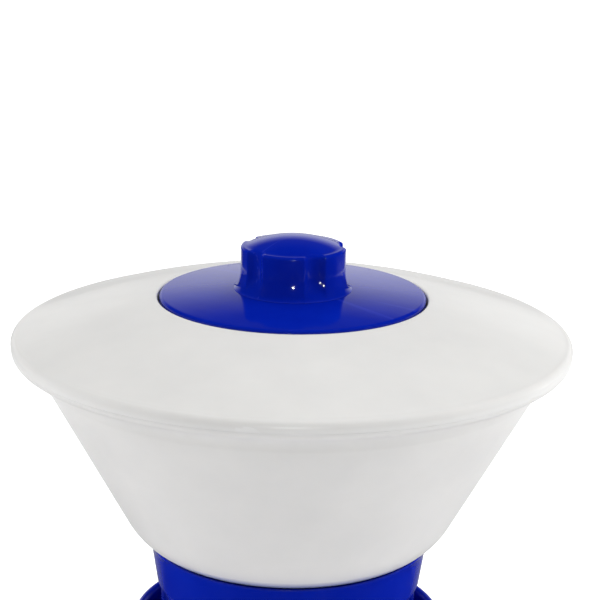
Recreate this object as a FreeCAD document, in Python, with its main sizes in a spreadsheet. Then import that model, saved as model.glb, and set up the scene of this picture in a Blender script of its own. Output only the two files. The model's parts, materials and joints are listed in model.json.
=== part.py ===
"""Floating chlorine dispenser: a parametric assembly.

Millimetres, +Z up. The origin is the centre of the flat face that the dispenser rests on.
Every level is measured from that face, and every radius from the vertical axis.
"""
import FreeCAD, Part
import math
import os
import Sketcher

DIMENSIONS = {
    # shared allowances: how far a pad starts inside its wall, and how far a cut runs past it
    "sink": 0.5,
    "overrun": 5.0,
    # float: brim, deck and lid recess
    "brim_level": 195.0,
    "brim_radius": 115.0,
    "lip_round": 2.8,
    "lip_top_radius": 112.2,
    "deck_rise": 17.7,
    "deck_crown": 352.0,
    "recess_radius": 55.4,
    "recess_round": 0.6,
    "seat_rise": 10.5,
    "seat_hole_radius": 49.2,
    "shell_wall": 2.4,
    # float: seam at the brim, a tongue in a groove over a sealing cord
    "seam_drop": 2.0,
    "seam_radius": 114.7,
    "seam_inner_radius": 106.5,
    "groove_inner_radius": 108.5,
    "groove_outer_radius": 111.5,
    "groove_rise": 1.3,
    "tongue_inner_radius": 108.7,
    "tongue_outer_radius": 111.3,
    "tongue_rise": 0.1,
    "cord_radius": 110.0,
    "cord_half": 0.58,
    # float: lip underside, cone and bowl
    "lip_foot_radius": 112.6,
    "lip_foot_drop": 5.0,
    "lip_under_round": 3.92,
    "underside_radius": 108.5,
    "underside_drop": 5.4,
    "underside_round": 10.4,
    "cone_top_radius": 102.3,
    "cone_top_drop": 13.9,
    "cone_foot_radius": 69.0,
    "cone_foot_drop": 74.9,
    "cone_wall": 2.7,
    "bowl_round": 30.0,
    "bowl_inner_round": 27.6,
    "land_radius": 52.5,
    "bowl_end_drop": 88.85,
    "bowl_inner_radius": 66.84,
    "bowl_inner_drop": 73.7,
    "land_drop": 91.0,
    "land_thickness": 3.84,
    "land_hole_radius": 46.8,
    # tube through the float
    "well_radius": 42.5,
    "flange_radius": 55.0,
    "flange_thickness": 3.0,
    "tube_head_radius": 49.0,
    "tube_radius": 45.0,
    "thread_radius": 46.2,
    "thread_top_drop": 92.8,
    "thread_foot_drop": 108.0,
    "tube_foot_drop": 110.0,
    "head_foot_drop": 5.5,
    "flange_groove_inner": 50.8,
    "flange_groove_outer": 53.4,
    "flange_groove_depth": 1.6,
    "flange_ring_radius": 52.1,
    "flange_ring_half": 0.78,
    "gallery_radius": 46.5,
    "gallery_half": 3.0,
    "gallery_sweep": 99.6,
    "entry_width": 14.0,
    # lid
    "lid_radius": 54.6,
    "lid_edge_rise": 18.7,
    "lid_round": 0.9,
    "lid_rim_rise": 16.2,
    "lid_top_rise": 21.0,
    "lid_flat_radius": 24.6,
    "lid_wall": 2.4,
    "lid_under_drop": 1.4,
    "skirt_inner_radius": 39.8,
    "skirt_outer_radius": 42.2,
    "skirt_foot_rise": 6.0,
    "key_radius": 46.2,
    "key_width": 13.2,
    "key_count": 2,
    "lid_boss_radius": 10.0,
    "lid_boss_foot_rise": 9.0,
    "stem_bore_radius": 6.05,
    "gasket_inner_radius": 49.0,
    "gasket_outer_radius": 53.5,
    "lid_rib_width": 1.6,
    "lid_rib_count": 6,
    "lid_rib_foot_rise": 13.0,
    "lid_rib_height": 6.0,
    # knob, stem and latch
    "knob_gap": 0.3,
    "knob_foot_radius": 24.0,
    "knob_foot_height": 1.0,
    "knob_flare_round": 9.0,
    "lobe_radius": 21.5,
    "scallop_foot_rise": 28.5,
    "lobe_top_rise": 39.0,
    "lobe_edge_round": 1.2,
    "dome_radius": 18.4,
    "dome_top_rise": 42.9,
    "lobe_count": 5,
    "lobe_turn": 6.6,
    "scallop_radius": 6.0,
    "scallop_offset": 25.2,
    "knob_cavity_radius": 15.5,
    "knob_cavity_top_rise": 37.0,
    "knob_boss_radius": 9.0,
    "stem_radius": 6.0,
    "stem_groove_radius": 4.6,
    "stem_groove_level": 14.2,
    "stem_groove_width": 1.5,
    "stem_ring_radius": 5.3,
    "stem_ring_half": 0.68,
    "stem_foot_rise": 2.7,
    "spigot_width": 7.0,
    "spigot_length": 5.0,
    "pilot_radius": 1.92,
    "pilot_depth": 13.0,
    "latch_half_height": 2.5,
    "latch_level": 0.1,
    "latch_reach": 46.2,
    "latch_corner": 45.6,
    "latch_width": 13.0,
    "latch_hub_radius": 11.0,
    "latch_socket_width": 7.1,
    "washer_radius": 6.0,
    "washer_hole_radius": 2.1,
    "washer_thickness": 1.0,
    "latch_screw_radius": 1.9,
    "latch_screw_length": 11.0,
    "latch_head_radius": 4.2,
    "latch_head_height": 2.6,
    "latch_head_round": 1.0,
    "cross_half_length": 2.0,
    "cross_half_width": 0.4,
    "cross_depth": 1.4,
    "cross_slot_count": 2,
    # collar and its gasket
    "collar_rim_drop": 87.1,
    "collar_rim_radius": 58.2,
    "collar_rim_round": 0.6,
    "collar_lip_round": 0.606,
    "collar_cup_radius": 57.0,
    "collar_cup_foot_radius": 54.2,
    "collar_seat_drop": 92.6,
    "collar_bore_radius": 46.3,
    "collar_sleeve_radius": 48.7,
    "collar_sleeve_drop": 108.5,
    "collar_pocket_drop": 96.6,
    "collar_skirt_radius": 52.3,
    "collar_foot_radius": 55.7,
    "collar_foot_drop": 105.4,
    "collar_gasket_radius": 52.0,
    "bayonet_radius": 53.5,
    "bayonet_top_drop": 100.8,
    "bayonet_foot_drop": 104.2,
    "bayonet_entry_angle": 10.0,
    "bayonet_sweep": 30.5,
    "bayonet_turn": 25.0,
    # basket
    "neck_radius": 52.24,
    "neck_inner_radius": 49.6,
    "neck_top_drop": 98.0,
    "basket_shoulder_drop": 112.0,
    "basket_radius": 54.0,
    "basket_inner_radius": 51.6,
    "basket_foot": 11.5,
    "basket_floor": 14.0,
    "lug_radius": 53.4,
    "lug_angle": 8.0,
    "lug_half_height": 1.5,
    "lug_count": 3,
    "shoulder_slope": 2.0,
    "window_foot": 21.0,
    "window_height": 26.0,
    "basket_slot_width": 6.4,
    "basket_slot_pitch": 10.0,
    "window_count": 6,
    "floor_hole_radius": 3.0,
    "floor_hole_count": 12,
    "floor_hole_circle": 38.0,
    "screw_circle": 24.0,
    "screw_count": 4,
    "boss_radius": 4.5,
    "basket_boss_top": 16.2,
    "stop_radius": 58.0,
    "stop_foot": 61.0,
    "stop_height": 4.0,
    "stop_arc": 316.0,
    "spring_pad_width": 18.0,
    "spring_pad_inner": 52.2,
    "spring_pad_radius": 56.0,
    "spring_pad_foot": 59.0,
    "spring_pad_height": 9.0,
    "pointer_width": 7.0,
    "pointer_height": 6.0,
    "pointer_foot": 74.0,
    "pointer_radius": 55.2,
    # grate
    "grate_radius": 51.2,
    "grate_foot": 16.5,
    "grate_thickness": 2.5,
    "grate_hole_radius": 3.2,
    "inner_ring_radius": 12.0,
    "inner_ring_count": 6,
    "middle_ring_radius": 25.0,
    "middle_ring_count": 12,
    "outer_ring_radius": 38.0,
    "outer_ring_count": 18,
    "grate_post_count": 6,
    "grate_post_circle": 44.5,
    "grate_post_radius": 2.5,
    # dosing ring
    "dosing_rim_level": 72.0,
    "dosing_rim_radius": 65.9,
    "dosing_rim_inner": 62.1,
    "dosing_rim_round": 1.9,
    "dosing_rim_inner_round": 1.9015,
    "dosing_band_foot": 57.0,
    "dosing_band_round": 12.0,
    "dosing_band_inner_foot": 58.0,
    "dosing_band_inner_round": 11.0,
    "dosing_bore_top": 49.0,
    "dosing_sleeve_top": 49.5,
    "dosing_sleeve_radius": 56.9,
    "dosing_bore_radius": 54.06,
    "dosing_foot": 14.0,
    "dosing_window_width": 27.0,
    "dosing_rest_angle": 15.0,
    "dosing_lug_angle": 12.0,
    "dosing_lug_inner": 54.8,
    "click_step": 5.0,
    "click_count": 7,
    "click_notch_radius": 0.9,
    "click_notch_circle": 62.3,
    "click_notch_foot": 60.0,
    "grip_rib_circle": 65.6,
    "grip_rib_radius": 1.1,
    "grip_rib_count": 48,
    "grip_rib_top": 66.0,
    # click spring
    "spring_thickness": 0.5,
    "spring_height": 6.0,
    "spring_half_length": 8.0,
    "spring_bump_reach": 62.0,
    "spring_bump_round": 1.33,
    "leaf_tail": 3.5,
    "leaf_bend": 5.0,
    "leaf_bend_inner": 4.8,
    "leaf_bend_rise": 2.4,
    "leaf_bend_inner_rise": 2.2,
    "leaf_bend_round": 3.4,
    "leaf_bend_inner_round": 2.6,
    "leaf_inner_half_length": 7.1,
    "nose_half_width": 1.2,
    "nose_tip_drop": 1.1,
    "nose_end_width": 1.4,
    "nose_end_drop": 1.5,
    "nose_inner_width": 0.6,
    "nose_inner_drop": 1.9,
    "spring_screw_radius": 1.2,
    "spring_pilot_radius": 1.22,
    "leaf_hole_radius": 1.3,
    "spring_head_radius": 2.2,
    "spring_head_height": 1.2,
    "spring_screw_length": 3.4,
    # bottom cap and ballast
    "cap_radius": 57.5,
    "cap_bevel": 2.0,
    "cap_top": 13.7,
    "cap_socket_radius": 54.3,
    "cap_ledge_radius": 51.0,
    "cap_ledge_foot": 9.0,
    "cap_inner_radius": 54.8,
    "cap_inner_foot": 7.0,
    "cap_floor": 2.4,
    "cap_hole_radius": 2.6,
    "cap_hole_circle": 13.0,
    "cap_hole_count": 8,
    "screw_radius": 2.0,
    "screw_hole_radius": 2.2,
    "screw_pilot_radius": 2.02,
    "screw_head_radius": 4.0,
    "screw_head_height": 2.0,
    "screw_sink_radius": 4.2,
    "screw_sink_depth": 2.4,
    "screw_slot_width": 1.0,
    "screw_slot_depth": 1.0,
    "screw_level": 0.4,
    "screw_length": 15.6,
    "ballast_inner_radius": 36.0,
    "ballast_outer_radius": 50.0,
    "ballast_top": 10.9,
    "ballast_bevel": 1.0,
}

doc = FreeCAD.newDocument("ChlorineDispenser")
sheet = doc.addObject("Spreadsheet::Sheet", "Sizes")


def fill_sheet():
    """Write one row per driving dimension: its name, and its value under an alias of that name."""
    for row, (alias, value) in enumerate(DIMENSIONS.items(), start=1):
        sheet.set(f"A{row}", alias)
        sheet.set(f"B{row}", str(value))
        sheet.setAlias(f"B{row}", alias)
    doc.recompute()


def term_value(term):
    """Value of a product such as 0.5*lid_radius, whose factors are numbers or sheet aliases."""
    factors = [float(f) if f[0].isdigit() else float(sheet.get(f)) for f in term.split("*")]
    return math.prod(factors)


def value_of(text):
    """Value of a sum such as 'brim_level - seam_drop', whose terms are spaced products."""
    total = 0.0
    sign = 1.0
    for word in text.split():
        if word in "+-":
            sign = 1.0 if word == "+" else -1.0
        else:
            total += sign * term_value(word)
    return total


def expression(text):
    """The same sum with each alias read from the sheet."""
    words = []
    for word in text.split():
        factors = [f if f[0] in "+-" or f[0].isdigit() else "Sizes." + f for f in word.split("*")]
        words.append("*".join(factors))
    return " ".join(words)


def bind(item, prop, text):
    item.setExpression(prop, expression(text))


def add_body(label):
    body = doc.addObject("PartDesign::Body", label)
    body.Label = label
    return body


def origin_feature(body, role):
    return next(f for f in body.Origin.OriginFeatures if f.Role == role)


def upright_sketch(body, name, azimuth=0.0):
    """A sketch on the vertical plane through the axis at an azimuth: x is the radius, y the level."""
    sketch = body.newObject("Sketcher::SketchObject", name)
    sketch.AttachmentSupport = [(origin_feature(body, "XZ_Plane"), "")]
    sketch.MapMode = "FlatFace"
    turn = FreeCAD.Rotation(FreeCAD.Vector(0, 1, 0), azimuth)
    sketch.AttachmentOffset = FreeCAD.Placement(FreeCAD.Vector(), turn)
    return sketch


def level_sketch(body, name, level):
    """A horizontal sketch at a level."""
    sketch = body.newObject("Sketcher::SketchObject", name)
    sketch.AttachmentSupport = [(origin_feature(body, "XY_Plane"), "")]
    sketch.MapMode = "FlatFace"
    sketch.AttachmentOffset = FreeCAD.Placement(
        FreeCAD.Vector(0, 0, value_of(level)), FreeCAD.Rotation())
    bind(sketch, "AttachmentOffset.Base.z", level)
    return sketch


def turn_about_axis(sketch, angle):
    """Turn a horizontal sketch about the vertical axis."""
    turn = FreeCAD.Rotation(FreeCAD.Vector(0, 0, 1), angle)
    sketch.AttachmentOffset = FreeCAD.Placement(sketch.AttachmentOffset.Base, turn)


def pin_point(sketch, geometry, point, x, y):
    """Hold a vertex at (x, y), each given as a sum of sheet aliases."""
    for kind, text in (("DistanceX", x), ("DistanceY", y)):
        value = value_of(text)
        if abs(value) < 1e-9:
            axis = -2 if kind == "DistanceX" else -1
            sketch.addConstraint(Sketcher.Constraint("PointOnObject", geometry, point, axis))
            continue
        index = sketch.addConstraint(
            Sketcher.Constraint(kind, -1, 1, geometry, point, value))
        bind(sketch, f"Constraints[{index}]", text)


def arc_between(start, end, radius, side):
    """The shorter arc from start to end whose centre lies on the left (+1) or right (-1)."""
    middle = (start + end) * 0.5
    chord = end - start
    reach = math.sqrt(max(radius ** 2 - (chord.Length / 2) ** 2, 0.0))
    left = FreeCAD.Vector(-chord.y, chord.x, 0).normalize()
    centre = middle + left * (side * reach)
    first = math.atan2(start.y - centre.y, start.x - centre.x)
    last = math.atan2(end.y - centre.y, end.x - centre.x)
    circle = Part.Circle(centre, FreeCAD.Vector(0, 0, 1), radius)
    if side > 0:
        return Part.ArcOfCircle(circle, first, last)
    return Part.ArcOfCircle(circle, last, first)


def crown_radius(start, end):
    """Radius of the arc between two points that is level at its end."""
    return (end - start).Length ** 2 / (2 * abs(end.y - start.y))


def outline(sketch, vertices):
    """Draw a closed outline.

    Each vertex is (x, y) for a straight run to it, or (x, y, radius, side) for an arc to it.
    An arc whose radius is None ends on the axis, where it is level, so its centre is on the axis.
    """
    points = [FreeCAD.Vector(value_of(v[0]), value_of(v[1]), 0) for v in vertices]
    ends = []
    for index, vertex in enumerate(vertices):
        start = points[index - 1]
        end = points[index]
        if len(vertex) == 2:
            geometry = sketch.addGeometry(Part.LineSegment(start, end), False)
            ends.append((geometry, 1, 2))
            continue
        radius, side = vertex[2], vertex[3]
        size = value_of(radius) if radius else crown_radius(start, end)
        arc = arc_between(start, end, size, side)
        geometry = sketch.addGeometry(arc, False)
        ends.append((geometry, 1, 2) if side > 0 else (geometry, 2, 1))
    for index, vertex in enumerate(vertices):
        geometry, _, finish = ends[index]
        following, begin, _ = ends[(index + 1) % len(ends)]
        sketch.addConstraint(
            Sketcher.Constraint("Coincident", geometry, finish, following, begin))
        pin_point(sketch, geometry, finish, vertex[0], vertex[1])
    for index, vertex in enumerate(vertices):
        if len(vertex) == 4 and vertex[2] is None:
            sketch.addConstraint(Sketcher.Constraint("PointOnObject", ends[index][0], 3, -2))
        elif len(vertex) == 4:
            number = sketch.addConstraint(
                Sketcher.Constraint("Radius", ends[index][0], value_of(vertex[2])))
            bind(sketch, f"Constraints[{number}]", vertex[2])
    return sketch


def circle(sketch, x, y, radius):
    """Draw a circle with its centre at (x, y)."""
    centre = FreeCAD.Vector(value_of(x), value_of(y), 0)
    up = FreeCAD.Vector(0, 0, 1)
    geometry = sketch.addGeometry(Part.Circle(centre, up, value_of(radius)), False)
    pin_point(sketch, geometry, 3, x, y)
    number = sketch.addConstraint(Sketcher.Constraint("Radius", geometry, value_of(radius)))
    bind(sketch, f"Constraints[{number}]", radius)
    return sketch


def rectangle(sketch, left, right, foot, top):
    """Draw a rectangle between two x values and two y values."""
    return outline(sketch, [(left, foot), (right, foot), (right, top), (left, top)])


def turned(body, vertices):
    """Turn an outline all the way round the axis, as the body's first solid."""
    sketch = outline(upright_sketch(body, body.Label + "_profile"), vertices)
    feature = body.newObject("PartDesign::Revolution", body.Label + "_turned")
    feature.Profile = sketch
    feature.ReferenceAxis = (sketch, ["V_Axis"])
    doc.recompute()
    return feature


def swept(body, kind, name, sketch, angle, midplane=False):
    """Turn a sketch through an angle: kind is Revolution to add or Groove to cut."""
    feature = body.newObject("PartDesign::" + kind, name)
    feature.Profile = sketch
    feature.ReferenceAxis = (sketch, ["V_Axis"])
    feature.Midplane = midplane
    bind(feature, "Angle", angle)
    return changed(body, feature)


def extruded(body, kind, name, sketch, length, reverse=False):
    """Extrude a sketch: kind is Pad to add or Pocket to cut."""
    feature = body.newObject("PartDesign::" + kind, name)
    feature.Profile = sketch
    feature.Reversed = reverse
    bind(feature, "Length", length)
    return changed(body, feature)


def changed(body, feature):
    """Recompute, and stop if the feature left the body's volume as it was."""
    before = feature.BaseFeature.Shape.Volume if feature.BaseFeature else 0.0
    doc.recompute()
    if abs(feature.Shape.Volume - before) < 1e-3:
        raise RuntimeError(f"{body.Label}: {feature.Name} changes nothing")
    body.Tip = feature
    return feature


def repeated(body, feature, count, angle=None, reverse=False):
    """Repeat a feature round the axis: evenly, or in equal steps over an angle."""
    pattern = body.newObject("PartDesign::PolarPattern", feature.Name + "_round")
    pattern.Originals = [feature]
    pattern.Axis = (origin_feature(body, "Z_Axis"), [""])
    pattern.Reversed = reverse
    bind(pattern, "Occurrences", count)
    if angle:
        bind(pattern, "Angle", angle)
    body.Tip = pattern
    doc.recompute()
    return pattern


def torus(label, level, ring_radius, half_thickness):
    """A round sealing ring."""
    ring = doc.addObject("Part::Torus", label)
    ring.Label = label
    bind(ring, "Radius1", ring_radius)
    bind(ring, "Radius2", half_thickness)
    bind(ring, "Placement.Base.z", level)
    return ring


def build_float_top_shell():
    """The deck that slopes up to the lid recess, with the upper half of the brim's seam."""
    body = add_body("float_top_shell")
    brim = "brim_level"
    turned(body, [
        ("seat_hole_radius", f"{brim} + seat_rise"),
        ("recess_radius", f"{brim} + seat_rise"),
        ("recess_radius", f"{brim} + deck_rise - recess_round"),
        ("recess_radius + recess_round", f"{brim} + deck_rise", "recess_round", -1),
        ("lip_top_radius", f"{brim} + lip_round", "deck_crown", -1),
        ("brim_radius", brim, "lip_round", -1),
        ("seam_radius", f"{brim} - seam_drop"),
        ("groove_outer_radius", f"{brim} - seam_drop"),
        ("groove_outer_radius", f"{brim} + groove_rise"),
        ("groove_inner_radius", f"{brim} + groove_rise"),
        ("groove_inner_radius", f"{brim} - seam_drop"),
        ("seam_inner_radius", f"{brim} - seam_drop"),
        ("seam_inner_radius", f"{brim} + lip_round"),
        ("recess_radius + shell_wall", f"{brim} + deck_rise - 1.2*shell_wall", "deck_crown", 1),
        ("recess_radius + shell_wall", f"{brim} + seat_rise - shell_wall"),
        ("seat_hole_radius", f"{brim} + seat_rise - shell_wall"),
    ])
    return body


def build_float_bottom_shell():
    """The brim's underside, the cone and the bowl, with the seam's tongue."""
    body = add_body("float_bottom_shell")
    brim = "brim_level"
    turned(body, [
        ("seam_radius", f"{brim} - seam_drop"),
        ("lip_foot_radius", f"{brim} - lip_foot_drop", "lip_under_round", -1),
        ("underside_radius", f"{brim} - underside_drop"),
        ("cone_top_radius", f"{brim} - cone_top_drop", "underside_round", 1),
        ("cone_foot_radius", f"{brim} - cone_foot_drop"),
        ("land_radius", f"{brim} - bowl_end_drop", "bowl_round", -1),
        ("land_radius", f"{brim} - land_drop"),
        ("land_hole_radius", f"{brim} - land_drop"),
        ("land_hole_radius", f"{brim} - land_drop + land_thickness"),
        ("land_radius - shell_wall", f"{brim} - land_drop + land_thickness"),
        ("bowl_inner_radius", f"{brim} - bowl_inner_drop",
         "bowl_inner_round", 1),
        ("cone_top_radius - cone_wall", f"{brim} - cone_top_drop"),
        ("seam_inner_radius", f"{brim} - seam_drop - shell_wall"),
        ("seam_inner_radius", f"{brim} - seam_drop"),
        ("tongue_inner_radius", f"{brim} - seam_drop"),
        ("tongue_inner_radius", f"{brim} + tongue_rise"),
        ("tongue_outer_radius", f"{brim} + tongue_rise"),
        ("tongue_outer_radius", f"{brim} - seam_drop"),
    ])
    return body


def build_well_tube():
    """The tube through the float: a flange on top, a latch gallery in its head, a threaded foot."""
    body = add_body("well_tube")
    brim = "brim_level"
    seat = f"{brim} + seat_rise"
    turned(body, [
        ("well_radius", f"{seat} + flange_thickness"),
        ("well_radius", f"{brim} - tube_foot_drop"),
        ("tube_radius", f"{brim} - tube_foot_drop"),
        ("tube_radius", f"{brim} - thread_foot_drop"),
        ("thread_radius", f"{brim} - thread_foot_drop"),
        ("thread_radius", f"{brim} - thread_top_drop"),
        ("tube_radius", f"{brim} - thread_top_drop"),
        ("tube_radius", f"{brim} - head_foot_drop - tube_head_radius + tube_radius"),
        ("tube_head_radius", f"{brim} - head_foot_drop"),
        ("tube_head_radius", seat),
        ("flange_groove_inner", seat),
        ("flange_groove_inner", f"{seat} + flange_groove_depth"),
        ("flange_groove_outer", f"{seat} + flange_groove_depth"),
        ("flange_groove_outer", seat),
        ("flange_radius", seat),
        ("flange_radius", f"{seat} + flange_thickness"),
    ])
    gallery = rectangle(upright_sketch(body, "gallery"), "well_radius - overrun", "gallery_radius",
                        f"{brim} - gallery_half", f"{brim} + gallery_half")
    cut = swept(body, "Groove", "gallery_cut", gallery, "gallery_sweep")
    repeated(body, cut, "key_count")
    entry = level_sketch(body, "entry", f"{brim} - gallery_half")
    rectangle(entry, "well_radius - overrun", "gallery_radius",
              "0 - 0.5*entry_width", "0.5*entry_width")
    cut = extruded(body, "Pocket", "entry_cut", entry,
                   "gallery_half + seat_rise + flange_thickness", reverse=True)
    repeated(body, cut, "key_count")
    return body


def build_collar_nut():
    """The collar: a cup round the bowl, a threaded sleeve and a bayonet skirt for the basket."""
    body = add_body("collar_nut")
    brim = "brim_level"
    turned(body, [
        ("collar_bore_radius", f"{brim} - collar_seat_drop"),
        ("collar_bore_radius", f"{brim} - collar_sleeve_drop"),
        ("collar_sleeve_radius", f"{brim} - collar_sleeve_drop"),
        ("collar_sleeve_radius", f"{brim} - collar_pocket_drop"),
        ("collar_skirt_radius", f"{brim} - collar_pocket_drop"),
        ("collar_skirt_radius", f"{brim} - collar_foot_drop"),
        ("collar_foot_radius - collar_rim_round", f"{brim} - collar_foot_drop"),
        ("collar_foot_radius", f"{brim} - collar_foot_drop + collar_rim_round",
         "collar_rim_round", 1),
        ("collar_rim_radius", f"{brim} - collar_rim_drop - collar_rim_round"),
        ("collar_cup_radius", f"{brim} - collar_rim_drop - collar_rim_round",
         "collar_lip_round", 1),
        ("collar_cup_foot_radius", f"{brim} - collar_seat_drop"),
    ])
    entry = rectangle(upright_sketch(body, "bayonet_entry"), "collar_skirt_radius - sink",
                      "bayonet_radius", f"{brim} - collar_foot_drop - overrun",
                      f"{brim} - bayonet_top_drop")
    cut = swept(body, "Groove", "bayonet_entry_cut", entry, "bayonet_entry_angle", midplane=True)
    repeated(body, cut, "lug_count")
    run = rectangle(upright_sketch(body, "bayonet_run"), "collar_skirt_radius - sink",
                    "bayonet_radius", f"{brim} - bayonet_foot_drop", f"{brim} - bayonet_top_drop")
    cut = swept(body, "Groove", "bayonet_run_cut", run, "bayonet_sweep")
    repeated(body, cut, "lug_count")
    body.Placement = FreeCAD.Placement(
        FreeCAD.Vector(), FreeCAD.Rotation(FreeCAD.Vector(0, 0, 1), -value_of("bayonet_turn")))
    return body


def build_collar_gasket():
    """The flat ring between the bowl's land and the collar's seat."""
    body = add_body("collar_gasket")
    section = rectangle(
        upright_sketch(body, "gasket_section"), "land_hole_radius", "collar_gasket_radius",
        "brim_level - collar_seat_drop", "brim_level - land_drop")
    swept(body, "Revolution", "gasket_turned", section, "360")
    return body


def build_lid_plate():
    """The lid disc, with its locating skirt, two keys, a central boss and stiffening ribs."""
    body = add_body("lid_plate")
    brim = "brim_level"
    under = f"{brim} + lid_top_rise - lid_wall"
    turned(body, [
        ("stem_bore_radius", f"{brim} + lid_top_rise"),
        ("stem_bore_radius", f"{brim} + lid_boss_foot_rise"),
        ("lid_boss_radius", f"{brim} + lid_boss_foot_rise"),
        ("lid_boss_radius", under),
        ("lid_flat_radius", under),
        ("skirt_inner_radius", f"{under} - lid_under_drop"),
        ("skirt_inner_radius", f"{brim} + skirt_foot_rise"),
        ("skirt_outer_radius", f"{brim} + skirt_foot_rise"),
        ("skirt_outer_radius", f"{brim} + lid_rim_rise"),
        ("lid_radius", f"{brim} + lid_rim_rise"),
        ("lid_radius", f"{brim} + lid_edge_rise - lid_round"),
        ("lid_radius - lid_round", f"{brim} + lid_edge_rise", "lid_round", 1),
        ("lid_flat_radius", f"{brim} + lid_top_rise"),
    ])
    key = level_sketch(body, "key", f"{brim} + skirt_foot_rise")
    rectangle(key, "skirt_inner_radius + sink", "key_radius",
              "0 - 0.5*key_width", "0.5*key_width")
    pad = extruded(body, "Pad", "key_pad", key, "lid_rim_rise - skirt_foot_rise")
    repeated(body, pad, "key_count")
    rib = level_sketch(body, "rib", f"{brim} + lid_rib_foot_rise")
    rectangle(rib, "lid_boss_radius - sink", "skirt_inner_radius + sink",
              "0 - 0.5*lid_rib_width", "0.5*lid_rib_width")
    pad = extruded(body, "Pad", "rib_pad", rib, "lid_rib_height")
    repeated(body, pad, "lid_rib_count")
    return body


def build_lid_gasket():
    """The flat ring that seals the lid on the tube's flange."""
    body = add_body("lid_gasket")
    foot = "brim_level + seat_rise + flange_thickness"
    top = "brim_level + lid_rim_rise"
    section = rectangle(upright_sketch(body, "seal_section"), "gasket_inner_radius",
                        "gasket_outer_radius", foot, top)
    swept(body, "Revolution", "seal_turned", section, "360")
    return body


def build_lid_knob():
    """The five-lobed grip with its dome, hollow underneath, and its stem with a square spigot."""
    body = add_body("lid_knob")
    brim = "brim_level"
    foot = f"{brim} + lid_top_rise + knob_gap"
    groove_top = f"{brim} + stem_groove_level + stem_groove_width"
    turned(body, [
        ("0", f"{brim} + stem_foot_rise"),
        ("stem_radius", f"{brim} + stem_foot_rise"),
        ("stem_radius", f"{brim} + stem_groove_level"),
        ("stem_groove_radius", f"{brim} + stem_groove_level"),
        ("stem_groove_radius", groove_top),
        ("stem_radius", groove_top),
        ("stem_radius", foot),
        ("knob_boss_radius", foot),
        ("knob_boss_radius", f"{brim} + knob_cavity_top_rise"),
        ("knob_cavity_radius", f"{brim} + knob_cavity_top_rise"),
        ("knob_cavity_radius", foot),
        ("knob_foot_radius", foot),
        ("knob_foot_radius", f"{foot} + knob_foot_height"),
        ("lobe_radius", f"{brim} + scallop_foot_rise", "knob_flare_round", -1),
        ("lobe_radius", f"{brim} + lobe_top_rise - lobe_edge_round"),
        ("lobe_radius - lobe_edge_round", f"{brim} + lobe_top_rise", "lobe_edge_round", 1),
        ("dome_radius", f"{brim} + lobe_top_rise"),
        ("0", f"{brim} + dome_top_rise", None, 1),
    ])
    scallop = level_sketch(body, "scallop", f"{brim} + scallop_foot_rise")
    turn_about_axis(scallop, value_of("lobe_turn"))
    circle(scallop, "scallop_offset", "0", "scallop_radius")
    cut = extruded(body, "Pocket", "scallop_cut", scallop, "dome_top_rise", reverse=True)
    repeated(body, cut, "lobe_count")
    spigot = level_sketch(body, "spigot", f"{brim} + stem_foot_rise")
    half = "0.5*spigot_width"
    rectangle(spigot, f"0 - {half}", half, f"0 - {half}", half)
    extruded(body, "Pad", "spigot_pad", spigot, "spigot_length", reverse=True)
    pilot = level_sketch(body, "pilot", f"{brim} + stem_foot_rise - spigot_length")
    circle(pilot, "0", "0", "pilot_radius")
    extruded(body, "Pocket", "pilot_cut", pilot, "pilot_depth", reverse=True)
    return body


def build_latch_bar():
    """The bar under the lid whose two ends turn into the tube's gallery."""
    body = add_body("latch_bar")
    foot = "brim_level + latch_level - latch_half_height"
    bar = level_sketch(body, "bar", foot)
    half = "0.5*latch_width"
    outline(bar, [
        ("latch_corner", f"0 - {half}"),
        ("latch_corner", half, "latch_reach", 1),
        ("0 - latch_corner", half),
        ("0 - latch_corner", f"0 - {half}", "latch_reach", 1),
    ])
    extruded(body, "Pad", "bar_pad", bar, "2*latch_half_height")
    hub = circle(level_sketch(body, "hub", foot), "0", "0", "latch_hub_radius")
    extruded(body, "Pad", "hub_pad", hub, "2*latch_half_height")
    socket = level_sketch(body, "socket", foot)
    side = "0.5*latch_socket_width"
    rectangle(socket, f"0 - {side}", side, f"0 - {side}", side)
    extruded(body, "Pocket", "socket_cut", socket, "2*latch_half_height", reverse=True)
    return body


def build_latch_washer():
    """The plain washer under the latch bar."""
    body = add_body("latch_washer")
    under = "brim_level + latch_level - latch_half_height"
    section = rectangle(upright_sketch(body, "washer_section"), "washer_hole_radius",
                        "washer_radius", f"{under} - washer_thickness", under)
    swept(body, "Revolution", "washer_turned", section, "360")
    return body


def build_latch_screw():
    """The pan-head screw that holds the bar and washer on the stem, with a cross recess."""
    body = add_body("latch_screw")
    seat = "brim_level + latch_level - latch_half_height - washer_thickness"
    turned(body, [
        ("0", f"{seat} - latch_head_height"),
        ("latch_head_radius - latch_head_round", f"{seat} - latch_head_height"),
        ("latch_head_radius", f"{seat} - latch_head_height + latch_head_round",
         "latch_head_round", 1),
        ("latch_head_radius", seat),
        ("latch_screw_radius", seat),
        ("latch_screw_radius", f"{seat} + latch_screw_length"),
        ("0", f"{seat} + latch_screw_length"),
    ])
    recess = level_sketch(body, "recess", f"{seat} - latch_head_height")
    rectangle(recess, "0 - cross_half_length", "cross_half_length",
              "0 - cross_half_width", "cross_half_width")
    cut = extruded(body, "Pocket", "recess_cut", recess, "cross_depth", reverse=True)
    repeated(body, cut, "cross_slot_count", "90")
    return body


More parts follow.
